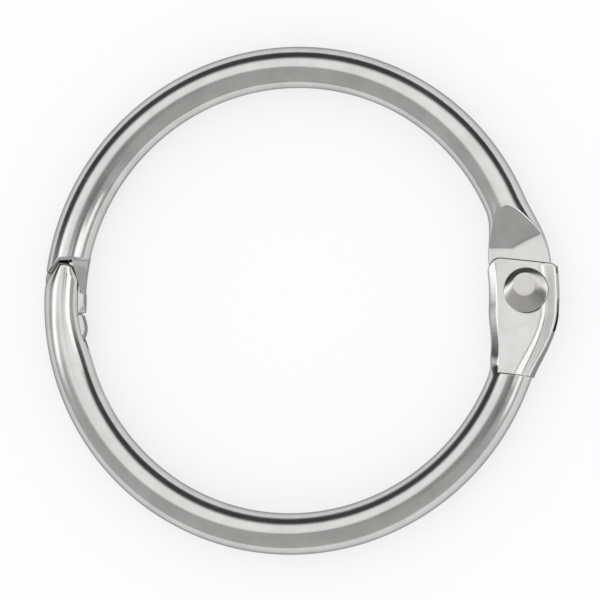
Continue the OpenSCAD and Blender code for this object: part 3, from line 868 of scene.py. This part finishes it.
piece("upper_half_shell", [build_upper(), build_tongue()], "upper", "upper_half",
      tube_nickel)
piece("lower_half_shell", [build_lower()], "lower", "lower_half", tube_nickel)
piece("rivet_formed", [build_rivet()], "lower", "hinge_rivet", rivet_nickel)

# ---- camera, in metres --------------------------------------------------------------------------
VIEW = Vector((0.199, -0.097, 0.975)).normalized()    # from the ring towards the camera
RIGHT = Vector((0.98, 0.0, -0.2)).normalized()
LIFT = VIEW.cross(RIGHT).normalized()
AIM = Vector((0.0006, 0.0, 0.0))
SPAN = 0.0535                 # width that the frame takes in at the ring
cam_data = bpy.data.cameras.new("camera")
cam_data.lens = 520
cam_data.sensor_width = 36
cam_data.clip_start = 0.01
cam_data.clip_end = 10
cam = bpy.data.objects.new("camera", cam_data)
bpy.context.scene.collection.objects.link(cam)
distance = SPAN / (cam_data.sensor_width / cam_data.lens)
stand = Matrix((RIGHT, LIFT, VIEW)).transposed().to_4x4()
stand.translation = AIM + VIEW * distance
cam.matrix_world = stand
bpy.context.scene.camera = cam

# ---- floor --------------------------------------------------------------------------------------
PAPER = 0.985                 # its own colour
PAPER_LIT = 0.99              # the white that cameras, reflections and glass see
LIT_SHARE = 0.65              # how much of that white, over its lit and shadowed surface
FLOOR_HALF = 1.5              # in metres
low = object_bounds()[0][2]
floor_mesh = bpy.data.meshes.new("floor")
floor_mesh.from_pydata([(x * FLOOR_HALF, y * FLOOR_HALF, low)
                        for x, y in ((-1, -1), (1, -1), (1, 1), (-1, 1))], [], [(0, 1, 2, 3)])
floor = bpy.data.objects.new("floor", floor_mesh)
bpy.context.scene.collection.objects.link(floor)
paper, tree = nodes_of("paper")
out = node(tree, "ShaderNodeOutputMaterial")
matte = node(tree, "ShaderNodeBsdfDiffuse")
matte.inputs["Color"].default_value = grey(PAPER)
lit = node(tree, "ShaderNodeEmission")
lit.inputs["Color"].default_value = grey(PAPER_LIT)
lit.inputs["Strength"].default_value = 1.0
rays = node(tree, "ShaderNodeLightPath")
seen = math_node(tree, "MAXIMUM", rays.outputs["Is Camera Ray"], rays.outputs["Is Glossy Ray"])
seen = math_node(tree, "MAXIMUM", seen, rays.outputs["Is Transmission Ray"])
paper_mix = node(tree, "ShaderNodeMixShader")
link(tree, math_node(tree, "MULTIPLY", seen, LIT_SHARE), paper_mix.inputs["Fac"])
link(tree, matte.outputs[0], paper_mix.inputs[1])
link(tree, lit.outputs[0], paper_mix.inputs[2])
link(tree, paper_mix.outputs[0], out.inputs["Surface"])
floor_mesh.materials.append(paper)

# ---- studio light -------------------------------------------------------------------------------
world = bpy.data.worlds.new("studio")
bpy.context.scene.world = world
world.use_nodes = True
tree = world.node_tree
tree.nodes.clear()
w_out = node(tree, "ShaderNodeOutputWorld")
where = node(tree, "ShaderNodeTexCoord")


def toward(axis):
    """How far a direction of the world points along a fixed axis."""
    n = node(tree, "ShaderNodeVectorMath", operation="DOT_PRODUCT")
    link(tree, where.outputs["Generated"], n.inputs[0])
    n.inputs[1].default_value = tuple(axis)
    return n.outputs["Value"]


# The room's directions are fixed in the world, and set out from the photograph's view: fall is 0
# towards it, overhead, and 1 underneath, and turn goes round from 0 at the right through 0.25 at
# the far side and 0.5 at the left.
dx, dy, dv = toward(RIGHT), toward(LIFT), toward(VIEW)
fall = math_node(tree, "DIVIDE", math_node(tree, "ARCCOSINE", dv), math.pi)
turn = math_node(tree, "DIVIDE", math_node(tree, "ARCTAN2", dy, dx), 2 * math.pi)
turn = math_node(tree, "FRACT", math_node(tree, "ADD", turn, 1.0))


def window(source, a, b, soft):
    """1 from a to b, with soft edges outside them. At a = 0 there is no first edge."""
    stops = [(a, 1.0), (b, 1.0), (b + soft, 0.0)]
    return ramp(tree, source, ([(a - soft, 0.0)] if a > 0 else []) + stops, "EASE")


def card(room, middle, half, top, bottom, soft, lean, light):
    """Hangs a soft-edged card or lamp in the room: the middle and half of its width round the
    table, its top and bottom as angles down from overhead, and its edges' softness, all in degrees.
    With lean, it hangs lower towards larger angles, by that share of the angle."""
    across = math_node(tree, "FRACT", math_node(tree, "ADD", turn, 1.5 - middle / 360))
    tilt = math_node(tree, "MULTIPLY", math_node(tree, "SUBTRACT", across, 0.5), 2 * lean)
    down = math_node(tree, "SUBTRACT", fall, tilt)
    mask = math_node(tree, "MULTIPLY",
                     window(across, 0.5 - half / 360, 0.5 + half / 360, soft / 360),
                     window(down, top / 180, bottom / 180, soft / 180))
    n = node(tree, "ShaderNodeMix", data_type="RGBA")
    link(tree, mask, n.inputs["Factor"])
    link(tree, room, n.inputs["A"])
    n.inputs["B"].default_value = grey(light)
    return n.outputs["Result"]


def background(colour):
    """A world background of strength 1, of a grey level or a socket's colour."""
    n = node(tree, "ShaderNodeBackground")
    n.inputs["Strength"].default_value = 1.0
    if isinstance(colour, float):
        n.inputs["Color"].default_value = grey(colour)
    else:
        link(tree, colour, n.inputs["Color"])
    return n.outputs[0]


# A grey room, dim overhead. The far side has a big soft box over a black card, a lamp stands at the
# left and one at the right, and a dark card hangs over the near right. Only reflections show it:
# the floor is lit by an even white.
room = ramp(tree, fall, [(0.0, 0.3), (0.14, 0.5), (0.6, 0.55)], "EASE")
room = card(room, 95, 65, 50, 88, 12, 0.1, 0.06)      # black card on the far side
room = card(room, 100, 60, 20, 46, 20, 0.1, 1.12)     # far soft box
room = card(room, 172, 7, 60, 68, 12, 0.9, 1.7)       # left lamp
room = card(room, 345, 30, 0, 22, 12, 0, 0.27)        # dark card, near right
room = card(room, 10, 22, 27, 52, 8, 0, 1.6)          # right lamp
room = card(room, 342, 8, 50, 60, 8, 0, 1.4)          # its near edge
rays = node(tree, "ShaderNodeLightPath")
choice = node(tree, "ShaderNodeMixShader")
link(tree, rays.outputs["Is Glossy Ray"], choice.inputs["Fac"])
link(tree, background(1.0), choice.inputs[1])
link(tree, background(room), choice.inputs[2])
link(tree, choice.outputs[0], w_out.inputs["Surface"])

scene = bpy.context.scene
scene.view_settings.view_transform = "Standard"
